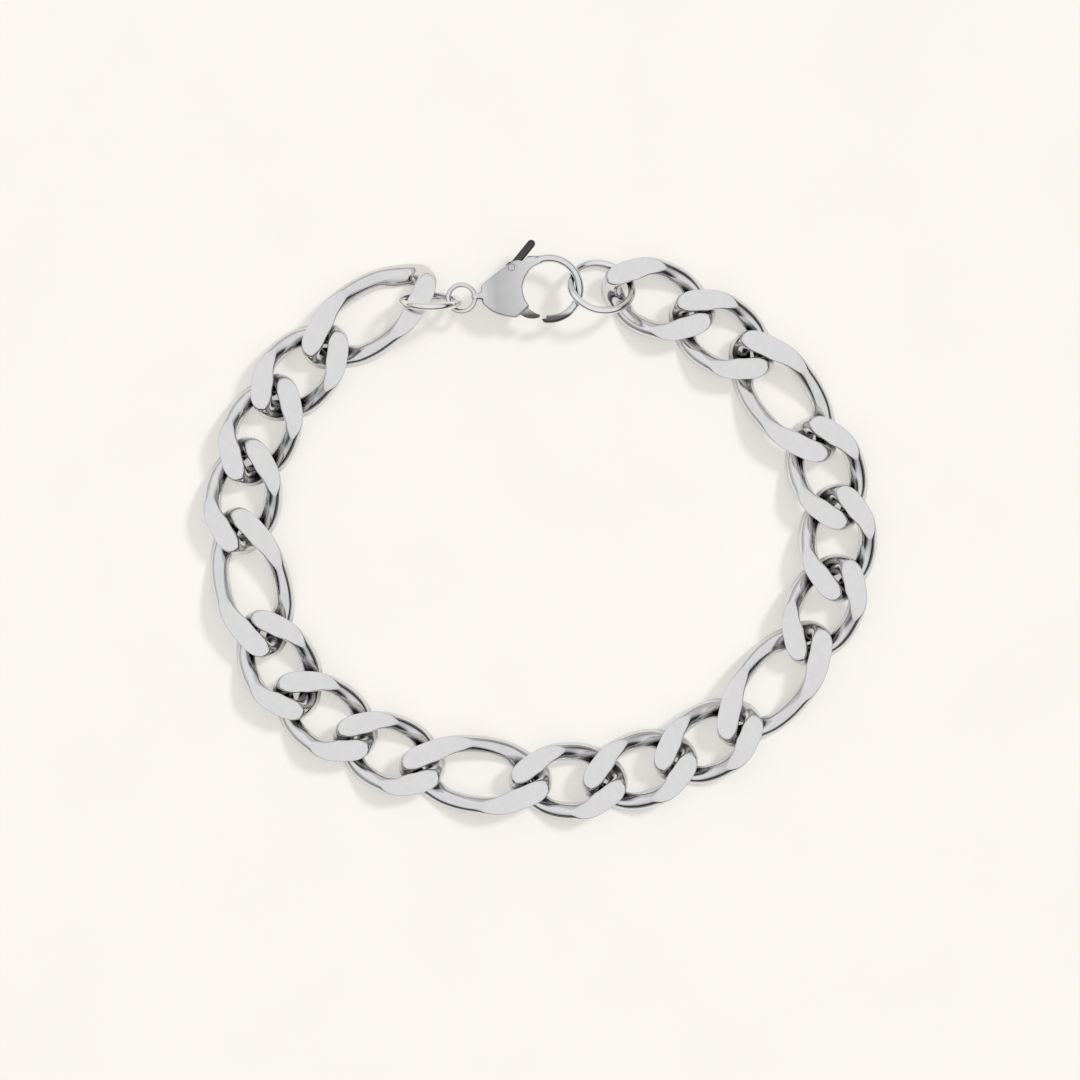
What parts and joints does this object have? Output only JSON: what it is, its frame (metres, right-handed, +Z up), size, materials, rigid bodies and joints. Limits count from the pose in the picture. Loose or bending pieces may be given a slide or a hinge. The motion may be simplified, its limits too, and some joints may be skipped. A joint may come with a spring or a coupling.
{
  "type": "link bracelet",
  "caption": "Closed wrist chain of flat-ground twisted oval links, long and short, joined by jump rings to a claw clasp with a sprung lever.",
  "frame": {"origin": "middle of the bracelet's box, on the surface that it lies on", "axes": "+Z up from the surface, X across the wider way of the closed loop, the clasp at +Y with its loop end towards -X"},
  "size_m": [0.0796, 0.0684, 0.0073],
  "materials": {
    "link_steel": "polished stainless steel, ground flat above and below",
    "ring_steel": "bright drawn stainless wire",
    "clasp_steel": "polished cast stainless steel",
    "lever_steel": "stamped stainless steel, darker and less polished"
  },
  "bodies": {
    "bracelet": {"long_link_1": "link_steel", "short_link_01": "link_steel", "short_link_02": "link_steel", "short_link_03": "link_steel", "long_link_2": "link_steel", "short_link_04": "link_steel", "short_link_05": "link_steel", "short_link_06": "link_steel", "long_link_3": "link_steel", "short_link_07": "link_steel", "short_link_08": "link_steel", "short_link_09": "link_steel", "long_link_4": "link_steel", "short_link_10": "link_steel", "short_link_11": "link_steel", "short_link_12": "link_steel", "long_link_5": "link_steel", "short_link_13": "link_steel", "short_link_14": "link_steel", "clasp_ring": "ring_steel", "clasp_body": "clasp_steel", "lever_pin": "clasp_steel", "catch_ring": "ring_steel"},
    "lever": {"lever": "lever_steel"}
  },
  "joints": [
    {"name": "lever_pivot", "type": "hinge", "parent": "bracelet", "child": "lever", "pos_m": [-0.00338, 0.03093, 0.0034], "axis": [0, 0, 1], "range_deg": [0, 25], "stiffness_Nm_per_rad": 0.002}
  ]
}
